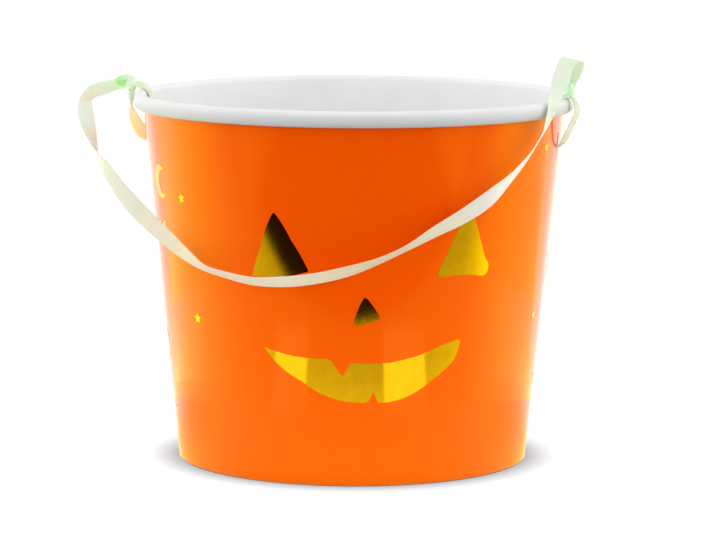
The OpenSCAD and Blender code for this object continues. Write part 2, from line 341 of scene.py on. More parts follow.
@dataclass(frozen=True)
class CloudedFinish:
    """What board, print and foil share: tone and gloss that drift in soft clouds over a fine relief.

    The tone's span is where its two colours stand on the clouds' noise. The bump is its strength and its
    height in metres, and the gloss is the span of the roughness.
    """
    name: str
    light: str
    deep: str
    tone_span: Point
    clouds: Grain
    relief: Grain
    bump: Point
    gloss: Point

    def start(self) -> tuple[Material, Node, NodeSocket, Node]:
        """Starts the material.

        Returns:
            The material, its shader, the place in object coordinates, and the tone's node.
        """
        made, tree, shader = new_material(self.name)
        place = add_node(tree, "TexCoord").outputs["Object"]
        clouds = add_node(tree, "TexNoise", self.clouds.inputs(place))
        tone = add_node(tree, "ValToRGB", {"Fac": clouds})
        set_stops(tone, list(zip(self.tone_span, (linear(self.deep), linear(self.light)))))
        shine = add_node(tree, "MapRange", {"Value": clouds, **limits("To", self.gloss)})
        relief = add_node(tree, "TexNoise", self.relief.inputs(place))
        bump = add_node(tree, "Bump", {"Height": relief, "Strength": self.bump[0], "Distance": self.bump[1]})
        feed(shader, {"Base Color": tone, "Roughness": shine, "Normal": bump})
        return made, shader, place, tone


@dataclass(frozen=True)
class CoatedBoard(CloudedFinish):
    """Clay-coated paperboard, calendered smooth: bright white, with a soft broad sheen and a faint
    cloudy mottle where the fibres lie thicker under the coating, and a painted shade that greys the roll's
    outer underside."""
    name: str = "coated_board"
    light: str = "#F4F4F3"
    deep: str = "#F0F0EF"
    tone_span: Point = (0.35, 0.65)
    clouds: Grain = Grain(14.0, 3.0, 0.55)
    # Board fibres are some 0.02 mm wide, and are drawn coarser so that they show from near.
    relief: Grain = Grain(0.35, 2.0)
    bump: Point = (0.15, 0.00004)
    gloss: Point = (0.42, 0.52)
    # Grey of the painted shade on the roll's outer underside.
    roll_shade_grey: str = "#BCBEC4"
    # Where the painted shade fades in, in metres: outwards over the roll, and down its outer side.
    roll_shade_radii: Point = (0.0775, 0.0792)
    roll_shade_heights: Point = (0.136, 0.129)

    def material(self) -> Material:
        """Makes the board's material.

        Returns:
            The material.
        """
        made, shader, place, tone = self.start()
        tree = made.node_tree
        part = add_node(tree, "SeparateXYZ", {"Vector": place})
        flat = add_node(tree, "CombineXYZ", {"X": part.outputs["X"], "Y": part.outputs["Y"]})
        reach = add_node(tree, "VectorMath", {0: flat}, operation="LENGTH")
        outer = add_node(tree, "MapRange", {
            "Value": reach.outputs["Value"], **limits("From", self.roll_shade_radii)})
        under = add_node(tree, "MapRange", {
            "Value": part.outputs["Z"], **limits("From", self.roll_shade_heights)},
            interpolation_type="SMOOTHSTEP")
        # Painted shade: the base colour greys towards the roll's outer underside, where shade falls.
        roll_shade_mask = add_node(tree, "Math", {0: outer, 1: under}, operation="MULTIPLY")
        whole = add_node(tree, "Mix", {"Factor": roll_shade_mask, "A": tone, "B": linear(self.roll_shade_grey)},
                         data_type="RGBA")
        feed(shader, {"Base Color": whole.outputs["Result"], "IOR": 1.5, "Specular IOR Level": 0.4})
        return made


@dataclass(frozen=True)
class GlossPrint(CloudedFinish):
    """Offset-printed paper under a gloss varnish: one strong even orange, with the faint dapple of the
    ink on its paper and a smooth mirror-like varnish that shows the table at a low angle."""
    name: str = "gloss_print"
    light: str = "#FF5900"
    deep: str = "#FC5600"
    tone_span: Point = (0.3, 0.7)
    clouds: Grain = Grain(1.6, 4.0, 0.6)
    relief: Grain = Grain(2.4, 1.0)
    bump: Point = (0.1, 0.00005)
    gloss: Point = (0.1, 0.13)
    varnish: str = "#FFF455"

    def material(self) -> Material:
        """Makes the printed paper's material.

        Returns:
            The material.
        """
        made, shader, _, _ = self.start()
        feed(shader, {"IOR": 1.5, "Specular Tint": linear(self.varnish)})
        return made


@dataclass(frozen=True)
class StampedFoil(CloudedFinish):
    """Hot-stamped metallised foil: a bright yellow-gold mirror whose reflections break into fine
    speckle, because the thin film follows the tooth of the paper below it."""
    name: str = "stamped_foil"
    light: str = "#DFAA12"
    deep: str = "#D8A20E"
    tone_span: Point = (0.3, 0.7)
    clouds: Grain = Grain(3.0, 3.0)
    # The paper's tooth is nearer 0.1 mm, and is drawn coarser so that the speckle shows.
    relief: Grain = Grain(0.45, 3.0, 0.7)
    bump: Point = (0.3, 0.00002)
    gloss: Point = (0.05, 0.08)

    def material(self) -> Material:
        """Makes the foil's material.

        Returns:
            The material.
        """
        made, shader, _, _ = self.start()
        feed(shader, {"Metallic": 1.0})
        return made


@dataclass(frozen=True)
class WovenSatin:
    """Woven polyester satin, single-faced, with a corded selvedge: a soft silky sheen, fine lines along
    its length, light that glows through the thin cloth, and tone stops along its length that paint light
    and shade, with a painted green shade where the layers gather at the knots."""
    name: str
    stops: tuple[tuple[float, str], ...]
    see_through: float = 0.8
    scatter_mm: float = 1.5
    # Threads are some 0.05 mm apart in life, and are drawn coarser so that they show from near.
    warp_lines: int = 22
    weft_mm: float = 0.45
    weft_share: float = 0.35
    # Where the cord at the cloth's edge falls off, as a share of the width, and its height in lines.
    selvedge_span: Point = (0.03, 0.08)
    selvedge_h: float = 1.5
    streak_size: float = 0.16
    streak_stretch: float = 0.05
    streak_span: Point = (0.9, 1.04)

    def material(self) -> Material:
        """Makes the satin's material, which reads the ribbon's own UV maps, across and along.

        Returns:
            The material.
        """
        made, tree, shader = new_material(self.name)
        across, along, share = self.places(tree)
        # Painted light and shade: the stops give each run's tone along its length, lighter and darker where
        # it bends and green where its layers gather in shade.
        tone = add_node(tree, "ValToRGB", {"Fac": share})
        set_stops(tone, [(position, linear(colour)) for position, colour in self.stops])
        warp = add_node(tree, "Math", {0: across, 1: 2 * math.pi * self.warp_lines}, operation="MULTIPLY")
        weft = add_node(tree, "Math", {0: along, 1: 2 * math.pi / self.weft_mm}, operation="MULTIPLY")
        waves = [add_node(tree, "Math", {0: lines}, operation="SINE") for lines in (warp, weft)]
        weave = add_node(tree, "Math", {0: waves[1], 1: self.weft_share, 2: waves[0]},
                         operation="MULTIPLY_ADD")
        edge = add_node(tree, "Math", {0: across, 1: 0.5}, operation="PINGPONG")
        selvedge = add_node(tree, "MapRange", {
            "Value": edge, **limits("From", self.selvedge_span), **limits("To", (1.0, 0.0))},
            interpolation_type="SMOOTHSTEP")
        height = add_node(tree, "Math", {0: selvedge, 1: self.selvedge_h, 2: weave}, operation="MULTIPLY_ADD")
        bump = add_node(tree, "Bump", {"Height": height, "Strength": 0.25, "Distance": 0.00003})
        drawn = add_node(tree, "Math", {0: along, 1: self.streak_stretch}, operation="MULTIPLY")
        streaked = add_node(tree, "CombineXYZ", {"X": warp, "Y": drawn})
        streak = add_node(tree, "TexNoise", {"Vector": streaked, "Scale": self.streak_size, "Detail": 2.0})
        depth = add_node(tree, "MapRange", {"Value": streak, **limits("To", self.streak_span)})
        shaded_tone = add_node(tree, "VectorMath", {0: tone, "Scale": depth}, operation="SCALE")
        feed(shader, {"Base Color": shaded_tone, "Normal": bump, "Roughness": 0.42, "Specular IOR Level": 0.35,
                      "Subsurface Weight": self.see_through, "Subsurface Radius": (1.0, 1.0, 1.0),
                      "Subsurface Scale": self.scatter_mm * METRES, "Sheen Weight": 0.25,
                      "Sheen Roughness": 0.4})
        return made

    def places(self, tree: NodeTree) -> list[NodeSocket]:
        """Reads the ribbon's UV maps.

        Args:
            tree: The material's node tree.

        Returns:
            The share across, the millimetres along, and the share along.
        """
        parts = [add_node(tree, "SeparateXYZ", {"Vector": add_node(tree, "UVMap", uv_map=name)})
                 for name in ("weave", "share")]
        return [parts[0].outputs["X"], parts[0].outputs["Y"], parts[1].outputs["Y"]]


# ------------------------------------------------------------- the pail's form


@dataclass(frozen=True)
class PailForm:
    """Sizes of the tub, in millimetres, the same as the CAD source's."""
    pail_h: float = 135.0
    rim_d: float = 162.0
    foot_d: float = 128.8
    board_t: float = 0.5
    print_t: float = 0.15
    seam_deg: float = 100.0
    lap_w: float = 8.0
    print_seam_w: float = 0.4
    print_lift: float = 0.3
    roll_h: float = 5.8
    roll_w: float = 4.1
    roll_mouth: float = 0.9
    floor_t: float = 0.5
    floor_lift: float = 9.0
    hem_h: float = 7.0
    press_gap: float = 0.05
    slot_right_deg: float = 75.0
    slot_left_deg: float = -98.0
    slot_w: float = 2.5
    slot_h: float = 10.0
    slot_drop: float = 17.5
    foil_t: float = 0.08

    @property
    def wall_top_z(self) -> float:
        """Height where the straight wall ends and the roll starts."""
        return self.pail_h - self.roll_h

    @property
    def wall_top_r(self) -> float:
        """Radius of the printed face under the roll."""
        return self.rim_d / 2 - self.roll_w + self.board_t + self.print_t

    @property
    def slot_z(self) -> float:
        """Height of the middle of the ribbon slots."""
        return self.pail_h - self.slot_drop

    def wall_r(self, height: float) -> float:
        """Radius of the printed face at a height."""
        return self.foot_d / 2 + (self.wall_top_r - self.foot_d / 2) * height / self.wall_top_z

    def wall_points(self, low: float, high: float, depth: float, steps: int = 6) -> list[Point]:
        """Points up the straight wall, with both ends.

        Args:
            low: Height of the first point.
            high: Height of the last point.
            depth: How far the points lie behind the printed face.
            steps: Number of steps, so that no face is very long.

        Returns:
            Radius and height of each point.
        """
        heights = [low + (high - low) * k / steps for k in range(steps + 1)]
        return [(self.wall_r(height) - depth, height) for height in heights]

    def slot_cutters(self, reach: float = 6.0, arc_steps: int = 12) -> BMesh:
        """Two prisms with the ribbon slots' rounded outline, through the wall.

        Args:
            reach: How far they stand out on each side of the wall.
            arc_steps: Steps round each end of the outline.

        Returns:
            A closed mesh in millimetres.
        """
        work = bmesh.new()
        end_z = self.slot_h / 2 - self.slot_w / 2
        for turn_deg in (self.slot_right_deg, self.slot_left_deg):
            outline = arc((0, end_z), self.slot_w / 2, 0, 180, arc_steps)
            outline += arc((0, -end_z), self.slot_w / 2, 180, 360, arc_steps)
            inside = reach - self.wall_r(self.slot_z)
            verts = [work.verts.new((x, inside, self.slot_z + z)) for x, z in outline]
            moved = pushed(work, [work.faces.new(verts)])
            bmesh.ops.translate(work, verts=moved, vec=(0, -2 * reach, 0))
            turn_about(work, verts + moved, turn_deg)
        bmesh.ops.recalc_face_normals(work, faces=work.faces)
        return work


@dataclass
class BoardWall:
    """The white board: rolled outwards at the rim, lapped at the seam, folded in at the foot."""
    form: PailForm
    steps: int = 360
    fold_steps: int = 8
    roll_steps: int = 14
    lap_steps: int = 10
    lap_bevel: float = 0.08
    lap_sharp_rad: float = 1.0

    def middle_line(self) -> list[Point]:
        """The board's middle line from the hem, round the foot fold and up to the roll's raw edge.

        Returns:
            Radius and height of each point, in millimetres.
        """
        form = self.form
        depth = form.print_t + form.board_t / 2
        hem_depth = depth + form.board_t + 2 * form.press_gap + form.floor_t
        fold = (hem_depth - depth) / 2
        foot_z = form.board_t / 2 + fold
        path = [(form.wall_r(form.hem_h) - hem_depth, form.hem_h)]
        path += arc((form.wall_r(foot_z) - depth - fold, foot_z), fold, 180, 360, self.fold_steps)
        path += form.wall_points(0.0, form.wall_top_z, depth)[1:]
        roll_r = form.roll_w / 2
        curl = roll_r - form.board_t / 2
        middle = form.rim_d / 2 - roll_r
        path += arc((middle, form.pail_h - roll_r), curl, 180, 0, self.roll_steps)
        edge_r = form.wall_top_r - form.print_t + form.roll_mouth
        end = -math.degrees(math.acos((edge_r - middle) / curl))
        path += arc((middle, form.pail_h - form.roll_h + roll_r), curl, 0, end, self.roll_steps)
        return path

    def outline(self) -> list[Point]:
        """The closed outline of the board's cross-section, half a thickness each side of its middle line.

        Returns:
            Radius and height of each point, in millimetres.
        """
        middle = [Vector(p) for p in self.middle_line()]
        sides: tuple[list[Point], list[Point]] = ([], [])
        for k, point in enumerate(middle):
            along = (middle[min(k + 1, len(middle) - 1)] - middle[max(k - 1, 0)]).normalized()
            out = Vector((along.y, -along.x)) * self.form.board_t / 2
            sides[0].append(tuple(point + out))
            sides[1].append(tuple(point - out))
        return sides[0] + sides[1][::-1]

    def build(self, finish: Material) -> None:
        """Models the wall and its inner lap.

        Args:
            finish: The board's material.
        """
        work = cut_away(spun(self.outline(), self.steps, closed=True), self.form.slot_cutters())
        finished(work, "board_wall", finish, Body.PAIL, ["sidewall"], crease_deg=50)
        finished(self.lap(), "board_lap", finish, Body.PAIL)

    def lap(self) -> BMesh:
        """Models the inner lap of the seam, a strip of the same board with softened edges.

        Returns:
            A closed mesh in millimetres.
        """
        form = self.form
        face = form.print_t + form.board_t
        back = face + form.board_t / 2
        low, high = form.floor_lift + form.floor_t + form.print_lift, form.wall_top_z
        path = form.wall_points(low, high, face, 1) + form.wall_points(low, high, back, 1)[::-1]
        turn = math.degrees(form.lap_w / form.wall_r(form.pail_h / 2))
        work = spun(path, self.lap_steps, closed=True, start_deg=form.seam_deg - turn / 2, turn_deg=turn)
        sharp = [e for e in work.edges
                 if len(e.link_faces) == 2 and e.calc_face_angle(0.0) > self.lap_sharp_rad]
        bmesh.ops.bevel(work, geom=sharp, offset=self.lap_bevel, offset_type="OFFSET", segments=2,
                        profile=0.5, affect="EDGES", material=-1)
        return work


@dataclass
class PrintedWrap:
    """The orange printed paper, glued round the outside of the board with a butt seam."""
    form: PailForm
    steps: int = 360

    def build(self, finish: Material) -> None:
        """Models the wrap.

        Args:
            finish: The printed paper's material.
        """
        form = self.form
        low, high = form.print_lift, form.wall_top_z
        backs = form.wall_points(low, high, form.print_t, 1)
        path = [backs[0], *form.wall_points(low, high, 0.0), backs[1]]
        gap = math.degrees(form.print_seam_w / form.wall_top_r)
        work = spun(path, self.steps, closed=True, start_deg=form.seam_deg + gap / 2, turn_deg=360 - gap)
        finished(cut_away(work, form.slot_cutters()), "printed_paper", finish, Body.PAIL,
                 ["printed_wrap"], crease_deg=40)


@dataclass
class FloorDisc:
    """The recessed floor with its skirt turned down between the wall and the hem."""
    form: PailForm
    bend_r: float = 0.6
    bend_steps: int = 5
    flat_rim: float = 3.0
    steps: int = 180

    def build(self, finish: Material) -> None:
        """Models the floor.

        Args:
            finish: The board's material.
        """
        form = self.form
        depth = form.print_t + form.board_t + form.press_gap + form.floor_t / 2
        top, foot = form.floor_lift + form.floor_t / 2, form.board_t + form.press_gap
        edge = form.wall_r(top) - depth
        path = [(0.0, top), (edge / 2, top), (edge - self.flat_rim, top)]
        path += arc((edge - self.bend_r, top - self.bend_r), self.bend_r, 90, 0, self.bend_steps)
        path += [(form.wall_r(foot) - depth, foot)]
        work = spun(path, self.steps)
        if any(f.normal.z < 0 and f.calc_center_median().z > top - 0.01 for f in work.faces):
            bmesh.ops.reverse_faces(work, faces=work.faces)
        bmesh.ops.solidify(work, geom=work.faces[:], thickness=form.floor_t)
        bmesh.ops.recalc_face_normals(work, faces=work.faces)
        finished(work, "floor_board", finish, Body.PAIL, ["floor_disc"], crease_deg=40)


# ---------------------------------------------------------------- foil figures


@dataclass(frozen=True)
class Figure:
    """One foil figure: its corners as shares of its size, each with the bulge of the edge that follows."""
    size: Point
    turn_deg: float
    lift: float
    shares: tuple[Place, ...]
    bow_steps: int = 10

    def outline(self) -> list[Point]:
        """Points of the outline, anticlockwise, in millimetres on the stamp's flat face.

        Returns:
            Sideways place and height of each point.
        """
        corners = [Vector((x * self.size[0], z * self.size[1])) for x, z, _ in self.shares]
        points: list[Point] = []
        for k, (_, _, bulge) in enumerate(self.shares):
            here, there = corners[k], corners[(k + 1) % len(corners)]
            way = there - here
            bow = (here + there) / 2 + Vector((way.y, -way.x)) * (2 * bulge)
            for n in range(self.bow_steps):
                s = n / self.bow_steps
                points.append(tuple(here * (1 - s) ** 2 + bow * (2 * s * (1 - s)) + there * s * s))
        return points


# The face's figures: size in millimetres, direction in degrees from the front, lift, and corners.
FACE = {
    "left_eye": Figure((21, 23.5), -21, 75, (
        (-0.49, 0.01, 0.05), (0.5, 0.12, 0.1), (0.49, 0.17, 0.02), (0.22, 0.6, 0.03),
        (-0.04, 0.98, 0.3), (-0.1, 0.97, 0.03), (-0.32, 0.5, 0.01), (-0.5, 0.05, 0.2))),
    "right_eye": Figure((21, 23.5), 33, 75, (
        (-0.5, 0.05, 0.2), (-0.38, 0.02, -0.04), (0.34, -0.01, 0.15), (0.49, 0.04, 0.2),
        (0.43, 0.25, 0.01), (0.285, 0.56, 0.04), (0.06, 0.98, 0.3), (0, 0.97, 0.05),
        (-0.3, 0.5, 0.01), (-0.51, 0.09, 0.2))),
    "nose": Figure((8.8, 10), 4, 58.8, (
        (-0.5, 0.06, 0.2), (-0.2, 0.04, 0.03), (0.52, 0.22, 0.25), (0.51, 0.31, 0.03),
        (0.13, 0.82, 0.06), (-0.05, 0.99, 0.25), (-0.14, 0.97, 0.04), (-0.52, 0.12, 0.25))),
    "mouth": Figure((69, 21.5), 3, 30.6, (
        (-0.5, 0.89, 0.07), (-0.31, 0.35, 0.04), (-0.165, 0.09, 0.05), (-0.02, 0.015, 0.15),
        (0.032, 0.04, 0.03), (0.054, 0.19, -0.02), (0.076, 0.03, 0.12), (0.095, 0.005, 0.04),
        (0.195, 0.055, 0.05), (0.35, 0.33, 0.03), (0.475, 0.665, 0.03), (0.507, 0.97, 0.3),
        (0.48, 1, 0.02), (0.295, 0.79, -0.01), (0.14, 0.68, -0.02), (-0.045, 0.68, 0.15),
        (-0.07, 0.64, -0.03), (-0.104, 0.455, -0.03), (-0.155, 0.69, 0.1), (-0.19, 0.745, -0.05)))}
# Direction in degrees from the front, height as a share of the wall's, and turn of each figure.
MOON_PLACES = (
    (-68.6, 0.81, 0), (84, 0.55, 170), (112, 0.86, 20), (138, 0.36, -160), (166, 0.7, 12),
    (-84, 0.33, 200), (-128, 0.62, -10), (-152, 0.25, 165))
STAR_PLACES = (
    (-55.6, 0.775, 10), (-68.5, 0.69, 24), (-52.5, 0.44, 0), (-76, 0.145, 15), (65, 0.915, 5),
    (69.5, 0.435, 12), (95, 0.7, 20), (107, 0.3, 8), (92, 0.13, 30), (127, 0.6, 14),
    (124, 0.18, 2), (146, 0.84, 22), (151, 0.53, 9), (170, 0.42, 28), (160, 0.12, 16),
    (-172, 0.88, 4), (-171, 0.2, 21), (-158, 0.52, 11), (-143, 0.8, 26), (-136, 0.38, 6),
    (-121, 0.14, 18), (-116, 0.77, 3), (-108, 0.47, 13), (-92, 0.61, 25), (-90, 0.88, 7),
    (80, 0.24, 19))


@dataclass
class FoilWork:
    """Stamps foil figures on the cone of the wall."""
    form: PailForm
    strip_mm: float = 0.6
    moon_d: float = 12.4
    moon_hollow: float = 0.72
    moon_offset: float = 0.24
    moon_steps: tuple[int, int] = (40, 32)
    star_d: float = 4.2
    star_waist: float = 0.46
    star_points: int = 5

    def stamp(self, work: BMesh, outline: Sequence[Point], turn_deg: float, lift: float) -> None:
        """Adds one figure to a mesh, cut into upright strips that follow the wall's curve.

        Args:
            work: The mesh that takes the figure.
            outline: The figure's flat outline, anticlockwise.
            turn_deg: Direction of the figure, in degrees from the front.
            lift: Height of the outline's zero.
        """
        flat = bmesh.new()
        flat.faces.new([flat.verts.new((x, 0.0, z + lift)) for x, z in outline])
        left, right = min(x for x, _ in outline), max(x for x, _ in outline)
        for k in range(1, math.ceil((right - left) / self.strip_mm)):
            bmesh.ops.bisect_plane(flat, geom=flat.verts[:] + flat.edges[:] + flat.faces[:], dist=1e-5,
                                   plane_co=(left + k * self.strip_mm, 0, 0), plane_no=(1, 0, 0))
        if sum(f.normal.y for f in flat.faces) > 0:
            bmesh.ops.reverse_faces(flat, faces=flat.faces)
        for vert in flat.verts:
            vert.co.y = -math.sqrt(self.form.wall_r(vert.co.z) ** 2 - vert.co.x ** 2)
        bmesh.ops.triangulate(flat, faces=flat.faces[:])
        for vert in pushed(flat, flat.faces[:]):
            grow = 1 + self.form.foil_t / self.form.wall_r(vert.co.z)
            vert.co.x, vert.co.y = vert.co.x * grow, vert.co.y * grow
        turn_about(flat, flat.verts, turn_deg)
        bmesh.ops.recalc_face_normals(flat, faces=flat.faces)
        merge(flat, work)

    def piece(self, name: str, stamps: Iterable[tuple[list[Point], float, float]],
              finish: Material) -> None:
        """Models one piece of foil, of one figure or more.

        Args:
            name: The piece's name, which its CAD node has too, with foil_ in front.
            stamps: Outline, direction and lift of each figure.
            finish: The foil's material.
        """
        work = bmesh.new()
        for outline, turn_deg, lift in stamps:
            self.stamp(work, outline, turn_deg, lift)
        finished(work, name, finish, Body.PAIL, ["foil_" + name])

    def moon_outline(self, tilt_deg: float) -> list[Point]:
        """A crescent: a circle less a smaller circle set to one side.

        Args:
            tilt_deg: How far the crescent is turned.

        Returns:
            The outline, anticlockwise.
        """
        outer, shift = self.moon_d / 2, self.moon_d * self.moon_offset
        inner = outer * self.moon_hollow
        tip_x = (outer ** 2 - inner ** 2 + shift ** 2) / (2 * shift)
        outer_tip = math.degrees(math.acos(tip_x / outer))
        inner_tip = math.degrees(math.acos((tip_x - shift) / inner))
        points = arc((0, 0), outer, outer_tip, 360 - outer_tip, self.moon_steps[0])
        points += arc((shift, 0), inner, 360 - inner_tip, inner_tip, self.moon_steps[1])[1:-1]
        turn = Matrix.Rotation(math.radians(tilt_deg), 2)
        return [tuple(turn @ Vector(p)) for p in points]

    def star_outline(self, turn_deg: float) -> list[Point]:
        """A small star with its first point up.

        Args:
            turn_deg: How far the star is turned.

        Returns:
            The outline, anticlockwise.
        """
        points = []
        for k in range(2 * self.star_points):
            radius = self.star_d / 2 * (1 if k % 2 == 0 else self.star_waist)
            turn = math.radians(90 + k * 180 / self.star_points + turn_deg)
            points.append((radius * math.cos(turn), radius * math.sin(turn)))
        return points

    def build(self, finish: Material) -> None:
        """Models the face's four figures, the moons and the stars.

        Args:
            finish: The foil's material.
        """
        for name, figure in FACE.items():
            self.piece(name, [(figure.outline(), figure.turn_deg, figure.lift)], finish)
        top = self.form.wall_top_z
        for name, draw, places in (("moons", self.moon_outline, MOON_PLACES),
                                   ("stars", self.star_outline, STAR_PLACES)):
            self.piece(name, [(draw(tilt), turn, share * top) for turn, share, tilt in places], finish)


# ---------------------------------------------------------------------- ribbon

# Middle of the ribbon in metres, yaw and tilt of its width in degrees, and the share of its width.
FRONT_ROUTE: tuple[Row, ...] = (
    (-0.0829, 0.0094, 0.13692, 85, -45, 0.45), (-0.08534, 0.0098, 0.13687, 85, -45, 0.8),
    (-0.08855, 0.0105, 0.1365, 80, -45, 1), (-0.09305, 0.011, 0.13516, 65, -55, 1),
    (-0.09696, 0.011, 0.13383, 58, -50, 1), (-0.09924, 0.0105, 0.13174, 50, -25, 1),
    (-0.09992, 0.0095, 0.12884, 30, -5, 1), (-0.09956, 0.008, 0.12544, 15, 0, 1),
    (-0.09853, 0.0055, 0.12121, 32, 0, 1), (-0.0968, 0.0025, 0.1163, 68, 0, 1),
    (-0.09567, -0.0005, 0.11327, 88, 0, 1), (-0.09339, -0.0045, 0.10943, 108, -12, 1),
    (-0.09079, -0.008, 0.10649, 124, -28, 1), (-0.085, -0.015, 0.0995, 145, -40, 1),
    (-0.0775, -0.0255, 0.093, 180, -45, 1), (-0.069, -0.037, 0.087, 150, -45, 1),
    (-0.06, -0.048, 0.081, 115, -35, 1), (-0.052, -0.0575, 0.077, 95, -22, 1),
    (-0.0435, -0.066, 0.0755, 95, -26, 1), (-0.0345, -0.072, 0.0745, 90, -35, 1),
    (-0.0235, -0.076, 0.075, 85, -45, 1), (-0.013, -0.078, 0.0765, 75, -45, 1),
    (-0.002, -0.078, 0.079, 70, -40, 1), (0.0085, -0.0775, 0.0825, 75, -25, 1),
    (0.0185, -0.076, 0.087, 75, -20, 1), (0.0285, -0.073, 0.0925, 65, -35, 1),
    (0.0385, -0.0685, 0.0975, 45, -40, 1), (0.0475, -0.063, 0.103, 40, -35, 1),
    (0.05553, -0.0575, 0.10984, 86, -39, 1), (0.06167, -0.053, 0.1165, 97, -32, 1),
    (0.06512, -0.049, 0.12128, 100, -31, 1), (0.06713, -0.047, 0.12466, 94, -29, 1),
    (0.0688, -0.0448, 0.12856, 77, -34, 1), (0.0702, -0.0426, 0.13212, 62, -35, 1),
    (0.07157, -0.04, 0.13637, 34, -33, 1), (0.07251, -0.038, 0.13907, 19, -31, 1),
    (0.07374, -0.0345, 0.14273, 8, -29, 1), (0.07532, -0.03, 0.14615, 6, -36, 1),
    (0.07726, -0.0255, 0.1487, 5, -20, 1), (0.07931, -0.0215, 0.14902, 0, -13, 1),
    (0.08061, -0.0185, 0.1471, 0, -8, 0.95), (0.08034, -0.0178, 0.14359, 0, -4, 0.7),
    (0.07917, -0.0188, 0.14039, 0, 0, 0.5), (0.07827, -0.0204, 0.13761, 0, 0, 0.42))
# The row where the free span ends and the standing loop starts.
LOOP_FROM = 33
# The turns lie as if their slot were at the front, and each is turned to its slot.
TURN_RIGHT_ROUTE: tuple[Row, ...] = (
    (0, -0.0818, 0.1355, 0, 0, 0.6), (0, -0.0828, 0.1339, 0, 0, 0.75), (0, -0.08366, 0.132, -4, 0, 0.95),
    (0, -0.08365, 0.1298, -8, 0, 1), (0, -0.08298, 0.12775, -11, 0, 1), (0, -0.08185, 0.1254, -12, 0, 1),
    (0, -0.0807, 0.123, -12, 0, 1), (0, -0.0796, 0.1208, -12, 0, 0.95), (0, -0.0787, 0.119, -10, 0, 0.75),
    (0, -0.0777, 0.1178, -6, 0, 0.5), (0, -0.0765, 0.1172, 0, 0, 0.36), (0, -0.0753, 0.1172, 0, 0, 0.34),
    (0, -0.0743, 0.1179, 0, 0, 0.36), (0, -0.0738, 0.1195, 0, 0, 0.5), (0, -0.0738, 0.122, 0, 0, 0.85),
    (0, -0.0743, 0.126, 0, 0, 1), (0, -0.0753, 0.131, 0, 0, 1), (0, -0.0762, 0.1334, 0, 0, 1),
    (0, -0.0771, 0.135, 0, 0, 0.9), (0, -0.079, 0.136, 0, 0, 0.7))
TURN_LEFT_ROUTE: tuple[Row, ...] = (
    (0.0025, -0.08316, 0.1354, -22, 0, 0.55), (0.0024, -0.083, 0.1327, -22, 0, 0.65),
    (0.0022, -0.0832, 0.1297, 6, 0, 0.75), (0.0018, -0.0829, 0.1267, 35, 14, 0.95),
    (0.0012, -0.0822, 0.1237, 46, 24, 1), (0.0007, -0.0809, 0.1211, 50, 36, 1),
    (0.0003, -0.0795, 0.1193, 60, 50, 1), (0, -0.0782, 0.1181, 70, 62, 0.9),
    (0, -0.0768, 0.1175, 60, 74, 0.75), (0, -0.0755, 0.1175, 0, 80, 0.55),
    (0, -0.0745, 0.1181, -30, 65, 0.42), (0.0003, -0.0738, 0.1196, -25, 35, 0.5),
    (0.0008, -0.0736, 0.1215, -10, 10, 0.8), (0.0012, -0.0741, 0.1245, 0, 0, 1),
    (0.0016, -0.0748, 0.128, 0, 0, 1), (0.002, -0.0754, 0.1315, 0, 0, 1), (0.002, -0.0762, 0.1336, 0, -4, 1),
    (0.0022, -0.0771, 0.1353, 0, -10, 1), (0.0023, -0.079, 0.1364, 0, -22, 1),
    (0.0024, -0.0807, 0.1368, 0, -24, 0.9), (0.0025, -0.0821, 0.137, 0, -20, 0.7))
# The small fold that lies over the left knot.
FLAP_ROUTE: tuple[Row, ...] = (
    (-0.0828, 0.0086, 0.1386, 80, -62, 0.5), (-0.0838, 0.0084, 0.1386, 84, -66, 0.6),
    (-0.0852, 0.0082, 0.1383, 88, -70, 0.66), (-0.0867, 0.0082, 0.1378, 90, -72, 0.62),
    (-0.0882, 0.0084, 0.1371, 90, -72, 0.5))


def add_uv_maps(work: BMesh) -> tuple[bmesh.types.BMLayerItem, bmesh.types.BMLayerItem]:
    """Adds the satin's two UV maps: millimetres along the weave, and share of the run's length."""
    return work.loops.layers.uv.new("weave"), work.loops.layers.uv.new("share")


